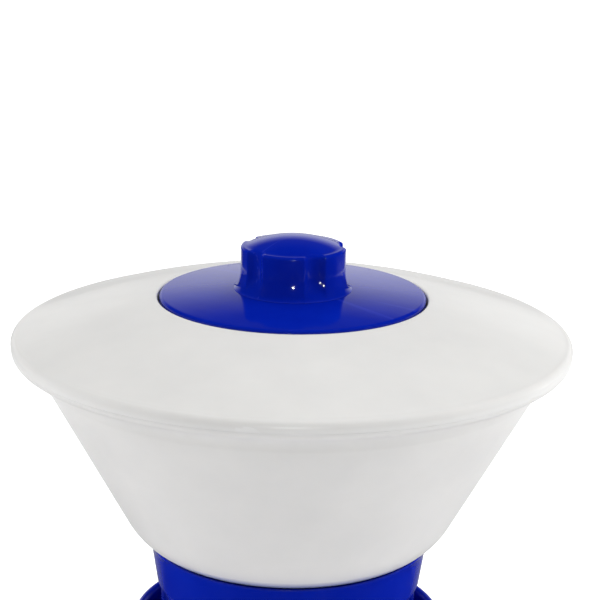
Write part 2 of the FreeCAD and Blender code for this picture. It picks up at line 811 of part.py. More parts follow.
def build_tablet_basket():
    """The slotted basket: a bayonet neck, slots in six groups, stops, a spring pad and a floor."""
    body = add_body("tablet_basket")
    brim = "brim_level"
    turned(body, [
        ("0", "basket_foot"),
        ("basket_radius", "basket_foot"),
        ("basket_radius", f"{brim} - basket_shoulder_drop"),
        ("neck_radius", f"{brim} - basket_shoulder_drop"),
        ("neck_radius", f"{brim} - neck_top_drop"),
        ("neck_inner_radius", f"{brim} - neck_top_drop"),
        ("neck_inner_radius", f"{brim} - basket_shoulder_drop"),
        ("basket_inner_radius", f"{brim} - basket_shoulder_drop - shoulder_slope"),
        ("basket_inner_radius", "basket_floor"),
        ("0", "basket_floor"),
    ])
    lug_level = f"{brim} - 0.5*bayonet_top_drop - 0.5*bayonet_foot_drop"
    lug = rectangle(upright_sketch(body, "lug"), "neck_radius - sink", "lug_radius",
                    f"{lug_level} - lug_half_height", f"{lug_level} + lug_half_height")
    added = swept(body, "Revolution", "lug_turned", lug, "lug_angle", midplane=True)
    repeated(body, added, "lug_count")
    stop = rectangle(upright_sketch(body, "stop"), "basket_radius - sink", "stop_radius",
                     "stop_foot", "stop_foot + stop_height")
    swept(body, "Revolution", "stop_turned", stop, "stop_arc", midplane=True)
    cut_spring_pad(body)
    add_pointer(body)
    for slot in (-1, 0, 1):
        azimuth = 90.0 + slot * value_of("basket_slot_pitch")
        half = "0.5*basket_slot_width"
        sketch = rectangle(upright_sketch(body, f"slot_{slot + 2}", azimuth), f"0 - {half}", half,
                           "window_foot", "window_foot + window_height")
        cut = extruded(body, "Pocket", f"slot_{slot + 2}_cut", sketch, "basket_radius + overrun")
        repeated(body, cut, "window_count")
    boss = circle(level_sketch(body, "boss", "basket_floor"), "screw_circle", "0", "boss_radius")
    pad = extruded(body, "Pad", "boss_pad", boss, "basket_boss_top - basket_floor")
    repeated(body, pad, "screw_count")
    pilot = circle(level_sketch(body, "screw_pilot", "basket_foot"),
                   "screw_circle", "0", "screw_pilot_radius")
    cut = extruded(body, "Pocket", "screw_pilot_cut", pilot, "basket_boss_top", reverse=True)
    repeated(body, cut, "screw_count")
    hole = circle(level_sketch(body, "floor_hole", "basket_foot"),
                  "floor_hole_circle", "0", "floor_hole_radius")
    cut = extruded(body, "Pocket", "floor_hole_cut", hole, "basket_floor", reverse=True)
    repeated(body, cut, "floor_hole_count")
    return body


def cut_spring_pad(body):
    """The flat on the basket's stop flange, at the back, that the click spring sits on."""
    half = "0.5*spring_pad_width"
    room = level_sketch(body, "spring_room", "spring_pad_foot")
    rectangle(room, f"0 - {half}", half, "spring_pad_radius", "stop_radius + overrun")
    extruded(body, "Pocket", "spring_room_cut", room, "spring_pad_height", reverse=True)
    pad = level_sketch(body, "spring_pad", "spring_pad_foot")
    rectangle(pad, f"0 - {half}", half, "spring_pad_inner", "spring_pad_radius")
    extruded(body, "Pad", "spring_pad_pad", pad, "spring_pad_height")
    pilot = circle(upright_sketch(body, "spring_pilot"), "0",
                   "spring_pad_foot + 0.5*spring_pad_height", "spring_pilot_radius")
    extruded(body, "Pocket", "spring_pilot_cut", pilot, "spring_pad_radius + overrun")


def add_pointer(body):
    """The raised arrow at the front that points down at the dosing ring."""
    half = "0.5*pointer_width"
    root = "basket_radius - sink"
    arrow = upright_sketch(body, "pointer")
    bind(arrow, "AttachmentOffset.Base.z", root)
    outline(arrow, [
        ("0", "pointer_foot"),
        (half, "pointer_foot + pointer_height"),
        (f"0 - {half}", "pointer_foot + pointer_height"),
    ])
    extruded(body, "Pad", "pointer_pad", arrow, "pointer_radius - basket_radius + sink")


def build_tablet_grate():
    """The raised grate that the tablets rest on, with posts down to the basket's floor."""
    body = add_body("tablet_grate")
    disc = circle(level_sketch(body, "disc", "grate_foot"), "0", "0", "grate_radius")
    extruded(body, "Pad", "disc_pad", disc, "grate_thickness")
    for ring in ("inner_ring", "middle_ring", "outer_ring"):
        hole = circle(level_sketch(body, ring, "grate_foot"),
                      ring + "_radius", "0", "grate_hole_radius")
        cut = extruded(body, "Pocket", ring + "_cut", hole, "grate_thickness", reverse=True)
        repeated(body, cut, ring + "_count")
    post = circle(level_sketch(body, "post", "basket_floor"),
                  "grate_post_circle", "0", "grate_post_radius")
    pad = extruded(body, "Pad", "post_pad", post, "grate_foot - basket_floor")
    repeated(body, pad, "grate_post_count")
    return body


def build_dosing_ring():
    """The turning ring: a wide grip rim over a close sleeve with six windows."""
    body = add_body("dosing_ring")
    rim = "dosing_rim_level - dosing_rim_round"
    turned(body, [
        ("dosing_bore_radius", "dosing_foot"),
        ("dosing_sleeve_radius", "dosing_foot"),
        ("dosing_sleeve_radius", "dosing_sleeve_top"),
        ("dosing_rim_radius", "dosing_band_foot", "dosing_band_round", -1),
        ("dosing_rim_radius", rim),
        ("dosing_rim_inner", rim, "dosing_rim_inner_round", 1),
        ("dosing_rim_inner", "dosing_band_inner_foot"),
        ("dosing_bore_radius", "dosing_bore_top", "dosing_band_inner_round", 1),
    ])
    rest = value_of("dosing_rest_angle")
    half = "0.5*dosing_window_width"
    window = rectangle(upright_sketch(body, "window", 120.0 + rest), f"0 - {half}", half,
                       "window_foot", "window_foot + window_height")
    cut = extruded(body, "Pocket", "window_cut", window, "dosing_rim_radius + overrun")
    repeated(body, cut, "window_count")
    lug = rectangle(upright_sketch(body, "stop_lug", 180.0), "dosing_lug_inner",
                    "dosing_rim_inner + sink", "stop_foot", "stop_foot + stop_height")
    swept(body, "Revolution", "stop_lug_turned", lug, "dosing_lug_angle", midplane=True)
    span = (value_of("click_count") - 1) * value_of("click_step")
    notch = level_sketch(body, "notch", "click_notch_foot")
    turn_about_axis(notch, 90.0 - span / 2)
    circle(notch, "click_notch_circle", "0", "click_notch_radius")
    cut = extruded(body, "Pocket", "notch_cut", notch, "spring_height", reverse=True)
    repeated(body, cut, "click_count", f"{span}")
    rib = circle(level_sketch(body, "grip_rib", "dosing_band_foot"),
                 "grip_rib_circle", "0", "grip_rib_radius")
    pad = extruded(body, "Pad", "grip_rib_pad", rib, "grip_rib_top - dosing_band_foot")
    repeated(body, pad, "grip_rib_count")
    return body


def build_click_spring():
    """The bent leaf whose rounded nose clicks in the dosing ring's notches."""
    body = add_body("click_spring")
    foot = "spring_pad_foot + 0.5*spring_pad_height - 0.5*spring_height"
    leaf = level_sketch(body, "leaf", foot)
    back = "spring_pad_radius"
    face = "spring_pad_radius + spring_thickness"
    outline(leaf, [
        ("0 - leaf_tail", back),
        ("leaf_bend", back),
        ("spring_half_length", f"{back} + leaf_bend_rise", "leaf_bend_round", 1),
        ("nose_half_width", "spring_bump_reach - nose_tip_drop"),
        ("0", "spring_bump_reach", "spring_bump_round", 1),
        ("0 - nose_end_width", "spring_bump_reach - nose_end_drop", "spring_bump_round", 1),
        ("nose_inner_width", "spring_bump_reach - nose_inner_drop"),
        ("leaf_inner_half_length", f"{back} + leaf_bend_inner_rise"),
        ("leaf_bend_inner", face, "leaf_bend_inner_round", -1),
        ("0 - leaf_tail", face),
    ])
    extruded(body, "Pad", "leaf_pad", leaf, "spring_height")
    hole = circle(upright_sketch(body, "leaf_hole"), "0",
                  "spring_pad_foot + 0.5*spring_pad_height", "leaf_hole_radius")
    extruded(body, "Pocket", "leaf_hole_cut", hole, f"{face} + sink")
    return body


def build_spring_screw():
    """The small screw that fastens the click spring to the basket."""
    below_seat = "0 - spring_pad_radius - spring_thickness"
    body = add_body("spring_screw")
    level = "spring_pad_foot + 0.5*spring_pad_height"
    shank = circle(upright_sketch(body, "shank"), "0", level, "spring_screw_radius")
    bind(shank, "AttachmentOffset.Base.z", f"{below_seat} + spring_screw_length")
    extruded(body, "Pad", "shank_pad", shank, "spring_screw_length", reverse=True)
    head = circle(upright_sketch(body, "head"), "0", level, "spring_head_radius")
    bind(head, "AttachmentOffset.Base.z", below_seat)
    extruded(body, "Pad", "head_pad", head, "spring_head_height", reverse=True)
    return body


def build_bottom_cap():
    """The cap under the basket: a resting face, a ledge, screw bosses, and drain holes."""
    body = add_body("bottom_cap")
    turned(body, [
        ("0", "0"),
        ("cap_radius - cap_bevel", "0"),
        ("cap_radius", "cap_bevel", "cap_bevel", 1),
        ("cap_radius", "cap_top"),
        ("cap_socket_radius", "cap_top"),
        ("cap_socket_radius", "basket_foot"),
        ("cap_ledge_radius", "basket_foot"),
        ("cap_ledge_radius", "cap_ledge_foot"),
        ("cap_inner_radius", "cap_inner_foot"),
        ("cap_inner_radius", "cap_floor"),
        ("0", "cap_floor"),
    ])
    boss = circle(level_sketch(body, "boss", "cap_floor"), "screw_circle", "0", "boss_radius")
    pad = extruded(body, "Pad", "boss_pad", boss, "basket_foot - cap_floor")
    repeated(body, pad, "screw_count")
    hole = circle(level_sketch(body, "screw_hole", "0"), "screw_circle", "0", "screw_hole_radius")
    cut = extruded(body, "Pocket", "screw_hole_cut", hole, "basket_foot", reverse=True)
    repeated(body, cut, "screw_count")
    sink = circle(level_sketch(body, "screw_sink", "0"), "screw_circle", "0",
                  "screw_sink_radius")
    cut = extruded(body, "Pocket", "screw_sink_cut", sink, "screw_sink_depth", reverse=True)
    repeated(body, cut, "screw_count")
    drain = circle(level_sketch(body, "drain", "0"), "cap_hole_circle", "0", "cap_hole_radius")
    cut = extruded(body, "Pocket", "drain_cut", drain, "cap_floor", reverse=True)
    repeated(body, cut, "cap_hole_count")
    return body


def build_cap_screws():
    """Four identical pan-head screws, as one group of separate solids."""
    shank = doc.addObject("Part::Cylinder", "cap_screw_shank")
    bind(shank, "Radius", "screw_radius")
    bind(shank, "Height", "screw_length - screw_level")
    head = doc.addObject("Part::Cylinder", "cap_screw_head")
    bind(head, "Radius", "screw_head_radius")
    bind(head, "Height", "screw_head_height")
    for piece in (shank, head):
        bind(piece, "Placement.Base.z", "screw_level")
    slot = doc.addObject("Part::Box", "cap_screw_slot")
    bind(slot, "Length", "2*screw_head_radius")
    bind(slot, "Width", "screw_slot_width")
    bind(slot, "Height", "screw_level + screw_slot_depth")
    bind(slot, "Placement.Base.x", "0 - screw_head_radius")
    bind(slot, "Placement.Base.y", "0 - 0.5*screw_slot_width")
    solid = doc.addObject("Part::Fuse", "cap_screw_solid")
    solid.Base = head
    solid.Tool = shank
    screw = doc.addObject("Part::Cut", "cap_screw")
    screw.Base = solid
    screw.Tool = slot
    doc.recompute()
    group = doc.addObject("Part::Feature", "cap_screws")
    group.Label = "cap_screws"
    count = int(value_of("screw_count"))
    copies = []
    for index in range(count):
        copy = screw.Shape.copy()
        copy.translate(FreeCAD.Vector(value_of("screw_circle"), 0, 0))
        copy.rotate(FreeCAD.Vector(), FreeCAD.Vector(0, 0, 1), 360.0 / count * index)
        copies.append(copy)
    group.Shape = Part.makeCompound(copies)
    group.Placement = FreeCAD.Placement()
    return group


def build_ballast_ring():
    """The bevelled metal ring inside the cap that keeps the dispenser upright."""
    body = add_body("ballast_ring")
    turned(body, [
        ("ballast_inner_radius", "cap_floor"),
        ("ballast_outer_radius", "cap_floor"),
        ("ballast_outer_radius", "ballast_top - ballast_bevel"),
        ("ballast_outer_radius - ballast_bevel", "ballast_top"),
        ("ballast_inner_radius + ballast_bevel", "ballast_top"),
        ("ballast_inner_radius", "ballast_top - ballast_bevel"),
    ])
    return body


def build_parts():
    """Every sub-part, from the float down to the foot."""
    brim = "brim_level"
    return [
        build_float_top_shell(),
        build_float_bottom_shell(),
        torus("brim_seal", f"{brim} + groove_rise - 1.02*cord_half", "cord_radius", "cord_half"),
        build_well_tube(),
        torus("well_seal", f"{brim} + seat_rise + 0.5*flange_groove_depth",
              "flange_ring_radius", "flange_ring_half"),
        build_collar_nut(),
        build_collar_gasket(),
        build_lid_plate(),
        build_lid_gasket(),
        build_lid_knob(),
        torus("stem_seal", f"{brim} + stem_groove_level + 0.5*stem_groove_width",
              "stem_ring_radius", "stem_ring_half"),
        build_latch_bar(),
        build_latch_washer(),
        build_latch_screw(),
        build_tablet_basket(),
        build_tablet_grate(),
        build_dosing_ring(),
        build_click_spring(),
        build_spring_screw(),
        build_bottom_cap(),
        build_cap_screws(),
        build_ballast_ring(),
    ]


def check_document(parts):
    """Stop if an object failed to compute or a sub-part has no valid shape."""
    for item in doc.Objects:
        if "Invalid" in item.State or "Error" in item.State:
            raise RuntimeError(f"{item.Name}: {item.State}")
    for part in parts:
        if part.Shape.isNull() or not part.Shape.isValid() or not part.Shape.Solids:
            raise RuntimeError(f"{part.Label} has no valid shape")


def main():
    fill_sheet()
    parts = build_parts()
    doc.recompute()
    check_document(parts)
    os.makedirs("parts", exist_ok=True)
    for part in parts:
        part.Shape.exportStep(f"parts/{part.Label}.step")
        print(part.Label, len(part.Shape.Solids), round(part.Shape.Volume / 1000, 2), "cm3")


main()
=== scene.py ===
"""Floating chlorine dispenser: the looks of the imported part, in metres, in the part's own frame."""
import json
import math

import bmesh
import bpy
from mathutils import Matrix, Vector


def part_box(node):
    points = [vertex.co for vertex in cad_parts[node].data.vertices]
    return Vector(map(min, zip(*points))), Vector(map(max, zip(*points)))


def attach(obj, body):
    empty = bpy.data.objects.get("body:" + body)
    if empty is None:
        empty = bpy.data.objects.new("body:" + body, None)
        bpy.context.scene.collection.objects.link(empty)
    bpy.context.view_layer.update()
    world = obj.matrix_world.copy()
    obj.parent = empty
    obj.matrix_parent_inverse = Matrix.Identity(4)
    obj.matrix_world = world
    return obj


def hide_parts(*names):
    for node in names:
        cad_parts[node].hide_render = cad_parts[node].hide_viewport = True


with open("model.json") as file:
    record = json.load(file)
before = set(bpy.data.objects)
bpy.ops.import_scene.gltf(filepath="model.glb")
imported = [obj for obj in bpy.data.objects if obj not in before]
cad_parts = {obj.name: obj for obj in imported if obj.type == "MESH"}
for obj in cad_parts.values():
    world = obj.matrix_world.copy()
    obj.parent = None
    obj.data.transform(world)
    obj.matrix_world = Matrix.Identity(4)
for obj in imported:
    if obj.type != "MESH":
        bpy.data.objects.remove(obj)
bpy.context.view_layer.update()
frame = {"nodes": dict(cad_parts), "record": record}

MM = 0.001
TURN = 2 * math.pi
ROUND_STEPS = 288
CORNER_STEPS = 6

KNOB_STEPS = 720
SHARP_ANGLE = 38.0
KNOB_SHARP_ANGLE = 50.0


def box_mm(name):
    """The low and high corners of a CAD node's box, in millimetres."""
    return [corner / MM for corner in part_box(name)]


# Levels and radii that the frame gives, in millimetres; every profile below is worked out from these.
DECK_LOW, DECK_HIGH = box_mm("float_top_shell")
DECK_TOP = DECK_HIGH.z
BOWL_FOOT = box_mm("float_bottom_shell")[0].z
LID_FOOT, LID_TOP = (corner.z for corner in box_mm("lid_plate"))
KNOB_FOOT = box_mm("lid_knob")[0].z
RING_TOP = box_mm("dosing_ring")[1].z
SEAM_DROP = 2.0
SEAM = DECK_LOW.z
BRIM = SEAM + SEAM_DROP
BRIM_RADIUS = DECK_HIGH.x
AIM = Vector((0.0, 0.0, BRIM * MM))
# Level below which the white bowl carries the painted reflection of the blue collar.
BOWL_REFLECTION_LEVEL = BRIM - 81.8

# Colours, as red, green and blue in linear light.
WHITE_COOL = (0.785, 0.780, 0.765)
WHITE_WARM = (0.825, 0.818, 0.800)
BLUE_DEEP = (0.0006, 0.011, 0.34)
BLUE_BRIGHT = (0.0012, 0.016, 0.395)
# Painted reflection of the blue collar, laid on the foot of the white bowl.
BLUE_PAINTED_REFLECTION = (0.10, 0.16, 0.45)
RUBBER_DARK = (0.012, 0.012, 0.013)
RUBBER_BLOOM = (0.035, 0.035, 0.038)
STEEL_DARK = (0.50, 0.50, 0.51)
STEEL_BRIGHT = (0.63, 0.62, 0.61)
PAPER_GLOW = (0.97, 0.96, 1.0)

# Light levels of the studio, as shares of full white, and lamp powers in watts.
WORLD_FRONT = 0.62
WORLD_BACK = 1.05
GLOSS_FRONT = 0.01
GLOSS_TOP = 0.08
FLOOR_BOUNCE = 0.85
FLOOR_FRONT = 0.80
FLOOR_GLOSS_FRONT = 0.02
FLOOR_GLOW = 0.60
FLOOR_FRONT_GLOW = 0.10
FLOOR_BACK_GLOW = 0.52
KEY_POWER = 5.0
FILL_POWER = 2.5
TOP_POWER = 3.2
SIDE_RIGHT_POWER = 5.8
SIDE_LEFT_POWER = 2.8
EYE_POWER = 4.5
BACKGROUND_SEEN = 1.3
FLOOR_SEEN = 0.93


# ---------------------------------------------------------------- outlines


def arc(start, end, radius, side, steps=16):
    """Points after start up to end on an arc whose centre is on the left (+1) or right (-1)."""
    a = Vector(start)
    b = Vector(end)
    chord = b - a
    reach = math.sqrt(max(radius ** 2 - (chord.length / 2) ** 2, 0.0))
    left = Vector((-chord.y, chord.x)).normalized()
    centre = (a + b) / 2 + left * side * reach
    first = math.atan2(a.y - centre.y, a.x - centre.x)
    sweep = math.atan2(b.y - centre.y, b.x - centre.x) - first
    if side > 0 and sweep < 0:
        sweep += TURN
    if side < 0 and sweep > 0:
        sweep -= TURN
    points = []
    for step in range(1, steps + 1):
        angle = first + sweep * step / steps
        points.append((centre.x + radius * math.cos(angle), centre.y + radius * math.sin(angle)))
    return points


def rounded(corners):
    """A closed outline with its corners rounded: each corner is (r, z) or (r, z, radius)."""
    outline = []
    count = len(corners)
    for index, corner in enumerate(corners):
        here = Vector(corner[:2])
        radius = corner[2] if len(corner) > 2 else 0.0
        if radius <= 0:
            outline.append(tuple(here))
            continue
        before = Vector(corners[index - 1][:2]) - here
        after = Vector(corners[(index + 1) % count][:2]) - here
        half = before.angle(after) / 2
        cut = min(radius / math.tan(half), 0.49 * before.length, 0.49 * after.length)
        size = cut * math.tan(half)
        start = here + before.normalized() * cut
        end = here + after.normalized() * cut
        turn = before.x * after.y - before.y * after.x
        side = 1 if turn < 0 else -1
        outline.append(tuple(start))
        outline.extend(arc(start, end, size, side, CORNER_STEPS))
    return outline


# ---------------------------------------------------------------- meshes


def add_object(name, data):
    """A new object of a mesh, light or camera, linked to the scene."""
    obj = bpy.data.objects.new(name, data)
    bpy.context.scene.collection.objects.link(obj)
    return obj


def mesh_object(name, vertices, faces, sharp_angle=SHARP_ANGLE):
    """A mesh object in metres from vertices in millimetres, shaded smooth apart from sharp edges."""
    mesh = bpy.data.meshes.new(name)
    mesh.from_pydata([tuple(c * MM for c in v) for v in vertices], [], faces)
    work = bmesh.new()
    work.from_mesh(mesh)
    bmesh.ops.remove_doubles(work, verts=work.verts, dist=1e-7)
    bmesh.ops.recalc_face_normals(work, faces=work.faces)
    work.to_mesh(mesh)
    work.free()
    mesh.shade_smooth()
    mesh.set_sharp_from_angle(angle=math.radians(sharp_angle))
    return add_object(name, mesh)


def lathe(name, outline, steps=ROUND_STEPS):
    """Turn a closed outline of (r, z) points round the axis."""
    vertices = []
    rings = []
    for r, z in outline:
        if r < 1e-6:
            rings.append([len(vertices)] * steps)
            vertices.append((0.0, 0.0, z))
            continue
        ring = []
        for step in range(steps):
            angle = TURN * step / steps
            ring.append(len(vertices))
            vertices.append((r * math.cos(angle), r * math.sin(angle), z))
        rings.append(ring)
    faces = []
    for index, ring in enumerate(rings):
        following = rings[(index + 1) % len(rings)]
        if ring[0] == ring[1] and following[0] == following[1]:
            continue
        for step in range(steps):
            after = (step + 1) % steps
            corners = [ring[step], ring[after], following[after], following[step]]
            face = list(dict.fromkeys(corners))
            if len(face) > 2:
                faces.append(face)
    return mesh_object(name, vertices, faces)


def block(name, low, high, bevel, angle=0.0):
    """A bevelled block between two corners in millimetres, turned about the vertical axis."""
    work = bmesh.new()
    bmesh.ops.create_cube(work, size=1.0)
    size = Vector(high) - Vector(low)
    middle = (Vector(high) + Vector(low)) / 2
    for vertex in work.verts:
        vertex.co = Vector(c * s for c, s in zip(vertex.co, size)) + middle
    bmesh.ops.bevel(work, geom=work.edges[:], offset=bevel, segments=3, profile=0.5,
                    affect="EDGES")
    work.transform(Matrix.Rotation(angle, 4, "Z"))
    work.transform(Matrix.Scale(MM, 4))
    mesh = bpy.data.meshes.new(name)
    work.to_mesh(mesh)
    work.free()
    mesh.shade_smooth()
    mesh.set_sharp_from_angle(angle=math.radians(SHARP_ANGLE))
    return add_object(name, mesh)


def joined(name, pieces):
    """One object from several of the same material."""
    mesh = bpy.data.meshes.new(name)
    work = bmesh.new()
    for piece in pieces:
        work.from_mesh(piece.data)
    work.to_mesh(mesh)
    work.free()
    for piece in pieces:
        bpy.data.objects.remove(piece)
    mesh.shade_smooth()
    mesh.set_sharp_from_angle(angle=math.radians(SHARP_ANGLE))
    return add_object(name, mesh)


# ---------------------------------------------------------------- materials


def node(tree, kind, **values):
    """A shader node: keys are properties, or input sockets written with their spaces as underscores."""
    made = tree.nodes.new(kind)
    for key, value in values.items():
        if key in made.bl_rna.properties:
            setattr(made, key, value)
        else:
            made.inputs[key.replace("_", " ")].default_value = value
    return made


def noise(tree, scale, detail=4.0, roughness=0.55):
    """A noise texture fixed to the object, with its scale per metre."""
    place = node(tree, "ShaderNodeTexCoord")
    made = node(tree, "ShaderNodeTexNoise", Scale=scale, Detail=detail, Roughness=roughness)
    tree.links.new(place.outputs["Object"], made.inputs["Vector"])
    return made


def ranged(tree, source, low, high, new_low, new_high):
    """A socket's value, carried from one range to another and held at its ends."""
    made = node(tree, "ShaderNodeMapRange")
    for socket, value in (("From Min", low), ("From Max", high),
                          ("To Min", new_low), ("To Max", new_high)):
        made.inputs[socket].default_value = value
    tree.links.new(source, made.inputs["Value"])
    return made.outputs["Result"]


def scratches(tree, scale, share):
    """Fine hairline marks: thin bands of a stretched noise."""
    place = node(tree, "ShaderNodeTexCoord")
    stretch = node(tree, "ShaderNodeMapping")
    stretch.inputs["Scale"].default_value = (scale, scale * 0.08, scale * 0.5)
    stretch.inputs["Rotation"].default_value = (0.3, 0.5, 0.9)
    tree.links.new(place.outputs["Object"], stretch.inputs["Vector"])
    grain = node(tree, "ShaderNodeTexNoise", Scale=1.0, Detail=2.0)
    tree.links.new(stretch.outputs["Vector"], grain.inputs["Vector"])
    return ranged(tree, grain.outputs["Fac"], 0.5 + share, 0.5 + share + 0.03, 0.0, 1.0)


def blended(tree, factor, first, second):
    """A colour between two, each a constant or a socket, by a factor socket."""
    made = node(tree, "ShaderNodeMix", data_type="RGBA")
    sockets = [socket for socket in made.inputs if socket.type == "RGBA"]
    tree.links.new(factor, made.inputs["Factor"])
    for value, socket in zip((first, second), sockets):
        if isinstance(value, tuple):
            socket.default_value = (*value, 1.0)
        else:
            tree.links.new(value, socket)
    return next(socket for socket in made.outputs if socket.type == "RGBA")


def scaled_sum(tree, source, factor, added):
    """A socket's value times a factor, plus another socket's value."""
    made = node(tree, "ShaderNodeMath", operation="MULTIPLY_ADD")
    tree.links.new(source, made.inputs[0])
    made.inputs[1].default_value = factor
    tree.links.new(added, made.inputs[2])
    return made.outputs[0]


def bumped(tree, height, shader, strength, distance):
    """Let a height socket ripple a shader's surface."""
    bump = node(tree, "ShaderNodeBump", Strength=strength, Distance=distance)
    tree.links.new(height, bump.inputs["Height"])
    tree.links.new(bump.outputs["Normal"], shader.inputs["Normal"])


def new_material(name):
    """A material with one principled shader: the material, its node tree and the shader."""
    material = bpy.data.materials.new(name)
    material.use_nodes = True
    tree = material.node_tree
    tree.nodes.clear()
    shader = node(tree, "ShaderNodeBsdfPrincipled")
    output = node(tree, "ShaderNodeOutputMaterial")
    tree.links.new(shader.outputs["BSDF"], output.inputs["Surface"])
    return material, tree, shader


def painted_reflection_below(tree, position, colour, reflected_colour, level, depth):
    """Painted reflection: lay another colour over a surface below a level, fully so at a depth, both in
    millimetres.
    """
    split = node(tree, "ShaderNodeSeparateXYZ")
    tree.links.new(position, split.inputs["Vector"])
    share = ranged(tree, split.outputs["Z"], (level - depth) * MM, level * MM, 0.95, 0.0)
    return blended(tree, share, colour, reflected_colour)


def moulded_plastic(name, first, second, gloss, wave, coat=0.0, glow=0.0, painted_reflection=None):
    """Injection-moulded plastic: cloudy colour, faint flow waves, grain, hairlines, brighter worn edges.

    The last argument, when given, is (colour, level, depth): a painted reflection, a colour laid over
    the surface below a level, in millimetres.
    """
    material, tree, shader = new_material(name)
    cloud = noise(tree, 35.0, 3.0)
    colour = blended(tree, ranged(tree, cloud.outputs["Fac"], 0.3, 0.7, 0.0, 1.0), first, second)
    geometry = node(tree, "ShaderNodeNewGeometry")
    # Painted reflection: the given colour laid over the base colour below a level.
    if painted_reflection:
        colour = painted_reflection_below(tree, geometry.outputs["Position"], colour, *painted_reflection)
    edge = ranged(tree, geometry.outputs["Pointiness"], 0.515, 0.56, 0.0, 0.35)
    worn = tuple(min(1.0, channel * 1.25 + 0.02) for channel in second)
    tree.links.new(blended(tree, edge, colour, worn), shader.inputs["Base Color"])
    smear = noise(tree, 110.0, 6.0, 0.6)
    rough = ranged(tree, smear.outputs["Fac"], 0.3, 0.75, gloss, gloss + 0.07)
    marks = scratches(tree, 900.0, 0.17)
    tree.links.new(scaled_sum(tree, marks, 0.06, rough), shader.inputs["Roughness"])
    shader.inputs["IOR"].default_value = 1.49
    shader.inputs["Coat Weight"].default_value = coat
    shader.inputs["Coat Roughness"].default_value = 0.04
    shader.inputs["Subsurface Weight"].default_value = glow
    shader.inputs["Subsurface Radius"].default_value = (0.004, 0.0036, 0.0032)
    shader.inputs["Subsurface Scale"].default_value = 0.4
    ripple = noise(tree, 160.0, 2.0)
    grain = noise(tree, 2600.0, 2.0)
    height = scaled_sum(tree, grain.outputs["Fac"], 0.03, ripple.outputs["Fac"])
    bumped(tree, height, shader, wave, 0.0004)
    return material


def seal_rubber():
    """Black moulded rubber with a dusty bloom."""
    material, tree, shader = new_material("seal_rubber")
    cloud = noise(tree, 260.0, 5.0)
    factor = ranged(tree, cloud.outputs["Fac"], 0.35, 0.7, 0.0, 1.0)
    colour = blended(tree, factor, RUBBER_DARK, RUBBER_BLOOM)
    tree.links.new(colour, shader.inputs["Base Color"])
    tree.links.new(ranged(tree, cloud.outputs["Fac"], 0.3, 0.7, 0.55, 0.8),
                   shader.inputs["Roughness"])
    grain = noise(tree, 3000.0, 3.0)
    bumped(tree, grain.outputs["Fac"], shader, 0.25, 0.0001)
    return material


def stainless(name, turned):
    """Stainless steel with fine machining lines round the vertical axis, or a plain satin grain."""
    material, tree, shader = new_material(name)
    cloud = noise(tree, 90.0, 5.0)
    factor = ranged(tree, cloud.outputs["Fac"], 0.3, 0.7, 0.0, 1.0)
    colour = blended(tree, factor, STEEL_DARK, STEEL_BRIGHT)
    tree.links.new(colour, shader.inputs["Base Color"])
    shader.inputs["Metallic"].default_value = 1.0
    place = node(tree, "ShaderNodeTexCoord")
    stretch = node(tree, "ShaderNodeMapping")
    stretch.inputs["Scale"].default_value = (60, 60, 9000) if turned else (4000, 4000, 400)
    tree.links.new(place.outputs["Object"], stretch.inputs["Vector"])
    lines = node(tree, "ShaderNodeTexNoise", Scale=1.0, Detail=3.0)
    tree.links.new(stretch.outputs["Vector"], lines.inputs["Vector"])
    tree.links.new(ranged(tree, lines.outputs["Fac"], 0.3, 0.7, 0.2, 0.38),
                   shader.inputs["Roughness"])
    bumped(tree, lines.outputs["Fac"], shader, 0.12, 0.00005)
    return material


def ray_kind(tree, name):
    """1 for rays of one kind (camera, diffuse or glossy), otherwise 0."""
    path = node(tree, "ShaderNodeLightPath")
    return path.outputs[f"Is {name} Ray"]


def product(tree, first, second):
    """A socket's value times another socket's."""
    made = node(tree, "ShaderNodeMath", operation="MULTIPLY")
    tree.links.new(first, made.inputs[0])
    tree.links.new(second, made.inputs[1])
    return made.outputs[0]


def mixed_value(tree, factor, first, second):
    """A number between two, each a constant or a socket, by a factor socket."""
    made = node(tree, "ShaderNodeMix", data_type="FLOAT")
    sockets = [s for s in made.inputs if s.type == "VALUE" and s.enabled]
    tree.links.new(factor, sockets[0])
    for value, socket in ((first, sockets[1]), (second, sockets[2])):
        if isinstance(value, float):
            socket.default_value = value
        else:
            tree.links.new(value, socket)
    return next(s for s in made.outputs if s.enabled)


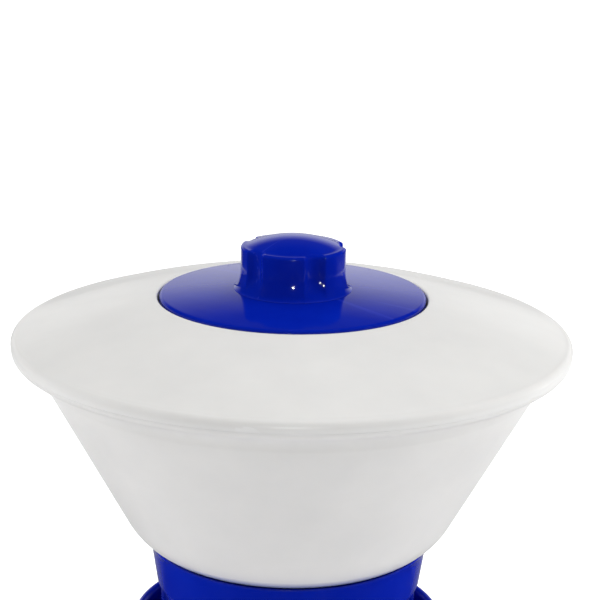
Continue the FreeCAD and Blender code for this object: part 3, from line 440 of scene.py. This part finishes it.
def floor_material():
    """Matt white paper: it reads as white, but throws back less light, and least in front."""
    material, tree, shader = new_material("studio_paper")
    fibre = noise(tree, 400.0, 3.0)
    grain = ranged(tree, fibre.outputs["Fac"], 0.3, 0.7, 0.97, 1.0)
    place = node(tree, "ShaderNodeNewGeometry")
    split = node(tree, "ShaderNodeSeparateXYZ")
    tree.links.new(place.outputs["Position"], split.inputs["Vector"])
    front = ranged(tree, split.outputs["Y"], -0.16, 0.10, FLOOR_FRONT, FLOOR_BOUNCE)
    dark_front = ranged(tree, split.outputs["Y"], 0.10, 0.45, FLOOR_GLOSS_FRONT, 0.95)
    aside = node(tree, "ShaderNodeMath", operation="ABSOLUTE")
    tree.links.new(split.outputs["X"], aside.inputs[0])
    dark_front = product(tree, dark_front, ranged(tree, aside.outputs[0], 0.30, 0.50, 1.0, 0.03))
    seen = mixed_value(tree, ray_kind(tree, "Glossy"), front, dark_front)
    level = mixed_value(tree, ray_kind(tree, "Camera"), seen, FLOOR_SEEN)
    tint = node(tree, "ShaderNodeCombineColor")
    value = product(tree, level, grain)
    for socket in tint.inputs:
        tree.links.new(value, socket)
    tree.links.new(tint.outputs["Color"], shader.inputs["Base Color"])
    shader.inputs["Roughness"].default_value = 0.95
    shader.inputs["Specular IOR Level"].default_value = 0.05
    shader.inputs["Emission Color"].default_value = (*PAPER_GLOW, 1.0)
    glow = ranged(tree, split.outputs["Y"], -0.40, 0.10, FLOOR_FRONT_GLOW, FLOOR_BACK_GLOW)
    glow = product(tree, glow, ray_kind(tree, "Diffuse"))
    tree.links.new(mixed_value(tree, ray_kind(tree, "Camera"), glow, FLOOR_GLOW),
                   shader.inputs["Emission Strength"])
    return material


# The white float carries a painted reflection of the blue collar on its lowest band, next to the
# collar's rim.
WHITE = moulded_plastic("float_white", WHITE_COOL, WHITE_WARM, gloss=0.30, wave=0.10, coat=0.12,
                        glow=0.12, painted_reflection=(BLUE_PAINTED_REFLECTION, BOWL_REFLECTION_LEVEL, 5.0))
BLUE = moulded_plastic("dispenser_blue", BLUE_DEEP, BLUE_BRIGHT, gloss=0.045, wave=0.05)
RUBBER = seal_rubber()
STEEL = stainless("stainless_fasteners", turned=False)
BALLAST = stainless("turned_ballast", turned=True)


def finish_piece(obj, material, body, slot, *nodes):
    """Give a new piece its material and body, and let it stand for CAD nodes; the slot argument is not
    used.
    """
    obj.data.materials.clear()
    obj.data.materials.append(material)
    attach(obj, body)
    if nodes:
        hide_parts(*nodes)
    return obj


# ---------------------------------------------------------------- float


DECK_CURVE = 352.0
SHELL_INNER = 106.5
GROOVE_IN_DECK = (108.5, 111.5)
GROOVE_IN_BOWL = (108.7, 111.3)
SKIN_GAP = 0.03
CONE_STEPS = 8


def float_deck():
    """The sloping deck with the lid's recess in the middle and a rounded brim."""
    recess = 55.4
    recess_edge = 0.9
    shelf = 49.2
    seat = BRIM + 10.5
    wall = 2.4
    brim_round = 2.8
    face = SEAM + SKIN_GAP
    groove_top = BRIM + 1.3
    groove_inner, groove_outer = GROOVE_IN_DECK
    lip = (BRIM_RADIUS - brim_round, BRIM + brim_round)
    recess_side = (recess, DECK_TOP - recess_edge)
    recess_top = (recess + recess_edge, DECK_TOP)
    ceiling_foot = (SHELL_INNER, BRIM + brim_round)
    ceiling_top = (recess + wall, DECK_TOP - 2.9)
    outline = [recess_side, *arc(recess_side, recess_top, recess_edge, -1, 6)]
    outline += arc(recess_top, lip, DECK_CURVE, -1, 40)
    outline += arc(lip, (BRIM_RADIUS, BRIM), brim_round, -1, 10)
    outline += [
        (BRIM_RADIUS - 0.04, SEAM + 0.12),
        (BRIM_RADIUS - 0.12, face),
        (groove_outer, face),
        (groove_outer, groove_top),
        (groove_inner, groove_top),
        (groove_inner, face),
        (SHELL_INNER, face),
        ceiling_foot,
        *arc(ceiling_foot, ceiling_top, DECK_CURVE, 1, 24),
        (ceiling_top[0], seat - wall),
        (shelf, seat - wall),
        (shelf, seat),
        (recess, seat),
    ]
    return lathe("float_deck", outline)


def float_bowl():
    """The brim's underside, the long cone and the rounded bowl down to the collar."""
    cone_top = (102.3, BRIM - 13.9)
    cone_foot = (69.0, BRIM - 74.9)
    bowl_end = (52.5, BRIM - 88.85)
    lip_start = (BRIM_RADIUS - 0.1, SEAM - 0.14)
    lip_foot = (112.6, BRIM - 5.0)
    under = (108.5, BRIM - 5.4)
    opening = 46.8
    floor_edge = (50.1, BOWL_FOOT + 3.84)
    face = SEAM - SKIN_GAP
    groove_top = BRIM + 0.1
    groove_inner, groove_outer = GROOVE_IN_BOWL
    outline = [(BRIM_RADIUS - 0.14, face), lip_start]
    outline += arc(lip_start, lip_foot, 3.4, -1, 8)
    outline += [under]
    outline += arc(under, cone_top, 10.4, 1, 12)
    outline += [(cone_top[0] + (cone_foot[0] - cone_top[0]) * step / CONE_STEPS,
                 cone_top[1] + (cone_foot[1] - cone_top[1]) * step / CONE_STEPS)
                for step in range(1, CONE_STEPS + 1)]
    outline += arc(cone_foot, bowl_end, 30.0, -1, 16)
    outline += [
        (bowl_end[0], BOWL_FOOT),
        (opening, BOWL_FOOT),
        (opening, floor_edge[1]),
        floor_edge,
        *arc(floor_edge, (66.8, BRIM - 73.7), 27.6, 1, 12),
        (99.6, BRIM - 13.9),
        (SHELL_INNER, BRIM - 4.4),
        (SHELL_INNER, face),
        (groove_inner, face),
        (groove_inner, groove_top),
        (groove_outer, groove_top),
        (groove_outer, face),
    ]
    return lathe("float_bowl", outline)


# ---------------------------------------------------------------- lid and knob


def lid_disc():
    """The lid: a shallow cone with a rolled edge, a locating skirt and a central boss."""
    radius = 54.6
    stem_bore = 6.05
    boss = 10.0
    crown_edge = 24.6
    skirt_inner, skirt_outer = 39.8, 42.2
    edge_top = LID_TOP - 2.3
    rim = LID_TOP - 4.8
    under = LID_TOP - 2.4
    boss_foot = LID_TOP - 12.0
    outline = rounded([
        (stem_bore, LID_TOP),
        (stem_bore, boss_foot),
        (boss, boss_foot, 0.5),
        (boss, under, 1.0),
        (crown_edge, under, 1.0),
        (skirt_inner, under - 1.4, 0.8),
        (skirt_inner, LID_FOOT, 0.8),
        (skirt_outer, LID_FOOT, 0.8),
        (skirt_outer, rim, 0.4),
        (radius, rim, 0.5),
        (radius, edge_top, 1.7),
        (crown_edge, LID_TOP, 3.0),
    ])
    return lathe("lid_disc", outline)


def lid_underside():
    """The stiffening ribs and the two keys under the lid."""
    ribs = 6
    keys = 2
    rib_low = (9.5, -0.8, LID_TOP - 8.0)
    rib_high = (40.2, 0.8, LID_TOP - 2.2)
    key_low = (41.5, -6.6, LID_FOOT)
    key_high = (46.2, 6.6, LID_TOP - 4.6)
    pieces = [block(f"rib_{index}", rib_low, rib_high, 0.25, TURN * index / ribs)
              for index in range(ribs)]
    pieces += [block(f"key_{index}", key_low, key_high, 0.6, TURN * index / keys)
               for index in range(keys)]
    return joined("lid_ribs_and_keys", pieces)


KNOB_LOBES = 5
SCALLOP_LEAD = math.radians(6.6)
SCALLOP_RADIUS = 6.0
SCALLOP_OFFSET = 25.2
LOBE_RADIUS = 21.5
CORE_RADIUS = SCALLOP_OFFSET - SCALLOP_RADIUS
LOBE_BLEND = 1.1


def lobe_share(angle):
    """How far the grip's side stands out: 1 on a lobe, 0 in the middle of a scallop."""
    pitch = TURN / KNOB_LOBES
    offset = (angle - SCALLOP_LEAD + pitch / 2) % pitch - pitch / 2
    across = SCALLOP_OFFSET * math.sin(offset)
    if abs(across) >= SCALLOP_RADIUS:
        return 1.0
    side = SCALLOP_OFFSET * math.cos(offset) - math.sqrt(SCALLOP_RADIUS ** 2 - across ** 2)
    gap = (side - LOBE_RADIUS) / LOBE_BLEND
    if gap <= -1:
        reach = side
    elif gap >= 1:
        reach = LOBE_RADIUS
    else:
        reach = LOBE_RADIUS - LOBE_BLEND * (1 - gap) ** 2 / 4
    return (reach - CORE_RADIUS) / (LOBE_RADIUS - CORE_RADIUS)


def spread(points, count):
    """The same polyline with a set number of points, evenly spaced along it."""
    lengths = [0.0]
    for a, b in zip(points, points[1:]):
        lengths.append(lengths[-1] + math.dist(a, b))
    result = []
    index = 0
    for step in range(count):
        target = lengths[-1] * step / (count - 1)
        while index < len(points) - 2 and lengths[index + 1] < target:
            index += 1
        span = lengths[index + 1] - lengths[index]
        t = (target - lengths[index]) / span if span else 0.0
        a, b = points[index], points[index + 1]
        result.append((a[0] + (b[0] - a[0]) * t, a[1] + (b[1] - a[1]) * t))
    return result


def crown(radius, foot, top, steps=14):
    """A shallow domed top from a radius in to the axis, level in the middle."""
    rise = top - foot
    size = (radius ** 2 + rise ** 2) / (2 * rise)
    return arc((radius, foot), (0.0, top), size, 1, steps)


def grip_profiles():
    """Matching runs of points up a lobe and up a scallop, in spans that join at the same places."""
    foot = LID_TOP + 0.04
    foot_radius = 24.2
    ledge = BRIM + 29.5
    lobe_top = BRIM + 39.0
    lobe_round = 1.2
    top = BRIM + 42.9
    crown_radius = 18.1
    start = [(foot_radius - 0.3, foot), (foot_radius, foot + 0.02), (foot_radius, foot + 0.08)]
    flare = arc(start[-1], (22.69, foot + 1.71), 2.9, -1, 10)
    flare += arc(flare[-1], (LOBE_RADIUS, ledge), 19.7, -1, 12)
    flare_in = arc(start[-1], (CORE_RADIUS, ledge + 0.3), 10.1, -1, 20)
    lobe_side = [(LOBE_RADIUS, ledge), (LOBE_RADIUS, lobe_top - lobe_round)]
    lobe_side += arc(lobe_side[-1], (LOBE_RADIUS - lobe_round, lobe_top), lobe_round, 1, 9)
    lobe_side += arc(lobe_side[-1], (18.6, lobe_top + 0.25), 6.0, -1, 5)
    core_side = [(CORE_RADIUS, ledge + 0.3), (CORE_RADIUS, BRIM + 37.6)]
    core_side += arc(core_side[-1], (18.4, lobe_top + 0.3), 2.6, 1, 12)
    dome = crown(crown_radius, lobe_top + 0.4, top)
    runs = []
    for flank, side in ((flare, lobe_side), (flare_in, core_side)):
        run = spread(start, 6) + spread(flank, 16)[1:] + spread(side, 44)[1:]
        runs.append(run + spread([run[-1], *dome], 24)[1:])
    return runs


def ring_points(radii, levels):
    """One ring of the grip's points, from a radius and a level for every step round it."""
    count = len(radii)
    return [(r * math.cos(TURN * step / count), r * math.sin(TURN * step / count), z)
            for step, (r, z) in enumerate(zip(radii, levels))]


def lid_knob():
    """The five-lobed grip: a flared foot, scallops between the lobes, a domed cap, and the stem."""
    steps = KNOB_STEPS
    lobe, core = grip_profiles()
    stem = 6.0
    socket, cavity = 9.0, 15.5
    rim = LID_TOP + 0.3
    ceiling = BRIM + 37.0
    hollow = [(stem, KNOB_FOOT + 5.0), (stem, rim), (socket, rim), (socket, ceiling),
              (cavity, ceiling), (cavity, rim)]
    shares = [lobe_share(TURN * step / steps) for step in range(steps)]
    layers = [ring_points([r] * steps, [z] * steps) for r, z in hollow]
    for (lobe_r, lobe_z), (core_r, core_z) in zip(lobe, core):
        layers.append(ring_points([core_r + (lobe_r - core_r) * share for share in shares],
                                  [core_z + (lobe_z - core_z) * share for share in shares]))
    vertices = [point for layer in layers for point in layer]
    faces = [list(range(steps))]
    for low in range(0, len(vertices) - steps, steps):
        high = low + steps
        for here in range(steps):
            after = (here + 1) % steps
            faces.append([low + here, low + after, high + after, high + here])
    return mesh_object("knob_grip", vertices, faces, KNOB_SHARP_ANGLE)


def knob_spigot():
    """The square drive under the stem that turns the latch bar."""
    half = 3.5
    return block("knob_spigot", (-half, -half, KNOB_FOOT), (half, half, KNOB_FOOT + 5.2), 0.3)


# ---------------------------------------------------------------- collar


def collar():
    """The collar that cups the bowl, with a thin rolled rim and a slightly tapered wall."""
    rim = BRIM - 87.1
    foot = BRIM - 105.4
    floor_top, floor_under = BRIM - 92.6, BRIM - 96.6
    thread_inner, thread_outer = 46.3, 48.7
    thread_foot = BRIM - 108.5
    skirt_bore = 53.7
    cup_bore = 54.2
    foot_radius, rim_radius = 55.7, 58.2
    edge = 0.6
    wall_steps = 6
    wall_foot = foot + edge
    wall_top = rim - 2 * edge
    outline = [(thread_inner, floor_top), (thread_inner, thread_foot), (thread_outer, thread_foot),
               (thread_outer, floor_under), (skirt_bore, floor_under), (skirt_bore, foot)]
    outline += [(foot_radius - edge, foot)]
    outline += arc(outline[-1], (foot_radius, wall_foot), edge, 1, 6)
    outline += [(foot_radius + (rim_radius - foot_radius) * step / wall_steps,
                 wall_foot + (wall_top - wall_foot) * step / wall_steps)
                for step in range(1, wall_steps + 1)]
    outline += arc(outline[-1], (rim_radius - edge, rim), edge, 1, 6)
    outline += [(56.75, rim - 0.02), (56.55, rim - 0.1), (55.45, rim - 0.6), (54.35, rim - 1.1),
                (cup_bore, rim - 1.6), (cup_bore, floor_top)]
    return lathe("collar", outline)


# ---------------------------------------------------------------- dosing scale


# A numeral's strokes as (left, low, right, high), in millimetres from the middle of its foot.
STROKES = {
    "top": (-1.0, 3.0, 1.0, 3.5),
    "upper_right": (0.5, 1.6, 1.0, 3.2),
    "lower_right": (0.5, 0.3, 1.0, 1.9),
    "foot": (-1.0, 0.0, 1.0, 0.5),
    "lower_left": (-1.0, 0.3, -0.5, 1.9),
    "upper_left": (-1.0, 1.6, -0.5, 3.2),
    "middle": (-1.0, 1.5, 1.0, 2.0),
}
NUMERALS = (
    ("top", "upper_right", "lower_right", "foot", "lower_left", "upper_left"),
    ("upper_right", "lower_right"),
    ("top", "upper_right", "middle", "lower_left", "foot"),
    ("top", "upper_right", "middle", "lower_right", "foot"),
    ("upper_left", "middle", "upper_right", "lower_right"),
    ("top", "upper_left", "middle", "lower_right", "foot"),
    ("top", "upper_left", "middle", "lower_left", "lower_right", "foot"),
)


def dosing_numerals():
    """Raised numerals 0 (closed) to 6 (full flow) on the ring's band, one for each click."""
    band_radius = 65.9
    sunk, raised = 0.3, 0.35
    foot = RING_TOP - 5.7
    first_azimuth, click = -75.0, -5.0
    pieces = []
    for number, strokes in enumerate(NUMERALS):
        azimuth = math.radians(first_azimuth + click * number)
        for stroke in strokes:
            left, low, right, high = STROKES[stroke]
            pieces.append(block(f"stroke_{number}_{stroke}",
                                (band_radius - sunk, left, foot + low),
                                (band_radius + raised, right, foot + high), 0.08, azimuth))
    return joined("dosing_numerals", pieces)


# ---------------------------------------------------------------- stage


def studio_world():
    """A bright tent: even for diffuse light, but black behind the camera and overhead in gloss."""
    world = bpy.data.worlds.new("studio")
    bpy.context.scene.world = world
    world.use_nodes = True
    tree = world.node_tree
    tree.nodes.clear()
    place = node(tree, "ShaderNodeTexCoord")
    split = node(tree, "ShaderNodeSeparateXYZ")
    tree.links.new(place.outputs["Generated"], split.inputs["Vector"])
    soft = ranged(tree, split.outputs["Y"], -0.6, 0.4, WORLD_FRONT, WORLD_BACK)
    right = ranged(tree, split.outputs["X"], -1.0, 1.0, 0.90, 1.10)
    diffuse = product(tree, soft, right)
    back = ranged(tree, split.outputs["Y"], 0.66, 0.95, GLOSS_FRONT, 1.0)
    above = ranged(tree, split.outputs["Z"], 0.20, 0.46, 1.0, GLOSS_TOP)
    glossy = product(tree, back, above)
    strength = mixed_value(tree, ray_kind(tree, "Glossy"), diffuse, glossy)
    seen = mixed_value(tree, ray_kind(tree, "Camera"), strength, BACKGROUND_SEEN)
    background = node(tree, "ShaderNodeBackground")
    tree.links.new(seen, background.inputs["Strength"])
    output = node(tree, "ShaderNodeOutputWorld")
    tree.links.new(background.outputs["Background"], output.inputs["Surface"])


def studio():
    """A pale floor that reaches past the picture, under the bright tent."""
    reach = 60.0 / MM
    corners = [(-reach, -reach, 0), (reach, -reach, 0), (reach, reach, 0), (-reach, reach, 0)]
    floor = mesh_object("floor", corners, [(0, 1, 2, 3)])
    floor.data.materials.append(floor_material())
    studio_world()


def soft_light(name, place, size, power):
    """A soft box aimed at the middle of the brim; it lights, but shows in no reflection."""
    data = bpy.data.lights.new(name, "AREA")
    data.shape = "RECTANGLE"
    data.size, data.size_y = size
    data.energy = power
    lamp = add_object(name, data)
    lamp.location = place
    lamp.rotation_mode = "QUATERNION"
    lamp.rotation_quaternion = (Vector(place) - AIM).to_track_quat("Z", "Y")
    lamp.visible_glossy = False


def lights():
    """Soft boxes all round, and a small lamp near the camera that only makes highlights."""
    soft_light("key_right", (1.0, -0.20, 0.75), (0.8, 0.9), KEY_POWER)
    soft_light("fill_left", (-1.0, -0.25, 0.65), (0.6, 0.9), FILL_POWER)
    soft_light("overhead", (0.0, 0.10, 1.5), (1.2, 1.0), TOP_POWER)
    soft_light("side_right", (0.74, 0.52, 0.03), (0.5, 0.25), SIDE_RIGHT_POWER)
    soft_light("side_left", (-0.80, 0.29, 0.03), (0.5, 0.25), SIDE_LEFT_POWER)
    data = bpy.data.lights.new("eye_light", "POINT")
    data.energy = EYE_POWER
    data.shadow_soft_size = 0.018
    lamp = add_object("eye_light", data)
    lamp.location = (0.0, -0.80, 0.225)
    lamp.visible_diffuse = False


def camera():
    """A long lens a little above the brim, with a slight roll; all but the angles in millimetres."""
    elevation = math.radians(16.61)
    roll = math.radians(0.986)
    distance = 800.25
    lens = 116.4
    sensor = 36.0
    brim_off_centre = Vector((-0.4758, -2.2164)) / lens
    back = Vector((0.0, -math.cos(elevation), math.sin(elevation)))
    up = Vector((0.0, math.sin(elevation), math.cos(elevation)))
    side = Vector((1.0, 0.0, 0.0))
    rolled_side = side * math.cos(roll) + up * math.sin(roll)
    rolled_up = up * math.cos(roll) - side * math.sin(roll)
    base = Matrix((rolled_side, rolled_up, back)).transposed()
    ahead = Vector((0, 0, -1))
    tilt = Vector((*brim_off_centre, -1.0)).rotation_difference(ahead)
    data = bpy.data.cameras.new("camera")
    data.sensor_width = sensor
    data.lens = lens
    data.clip_start = 0.01
    data.clip_end = 200.0
    cam = add_object("camera", data)
    cam.location = AIM + back * distance * MM
    cam.rotation_mode = "QUATERNION"
    cam.rotation_quaternion = base.to_quaternion() @ tilt
    bpy.context.scene.camera = cam


# ---------------------------------------------------------------- assembly


def carried_over_nodes():
    """Materials of the CAD nodes that are shown as they are."""
    by_slot = {
        "float_white": WHITE,
        "dispenser_blue": BLUE,
        "seal_rubber": RUBBER,
        "stainless": STEEL,
        "ballast_metal": BALLAST,
    }
    for part in frame["record"]["subparts"]:
        obj = frame["nodes"][part["node"]]
        obj.data.materials.clear()
        obj.data.materials.append(by_slot[part["material_slot"]])


def main():
    """Materials for the carried-over nodes, the new pieces, and the studio."""
    carried_over_nodes()
    finish_piece(float_deck(), WHITE, "float", "float_white", "float_top_shell")
    finish_piece(float_bowl(), WHITE, "float", "float_white", "float_bottom_shell")
    finish_piece(lid_disc(), BLUE, "lid", "dispenser_blue", "lid_plate")
    finish_piece(lid_underside(), BLUE, "lid", "dispenser_blue")
    finish_piece(lid_knob(), BLUE, "knob", "dispenser_blue", "lid_knob")
    finish_piece(knob_spigot(), BLUE, "knob", "dispenser_blue")
    finish_piece(collar(), BLUE, "float", "dispenser_blue", "collar_nut")
    finish_piece(dosing_numerals(), BLUE, "regulator", "dispenser_blue")
    studio()
    lights()
    camera()
    bpy.context.scene.view_settings.view_transform = "Standard"


main()
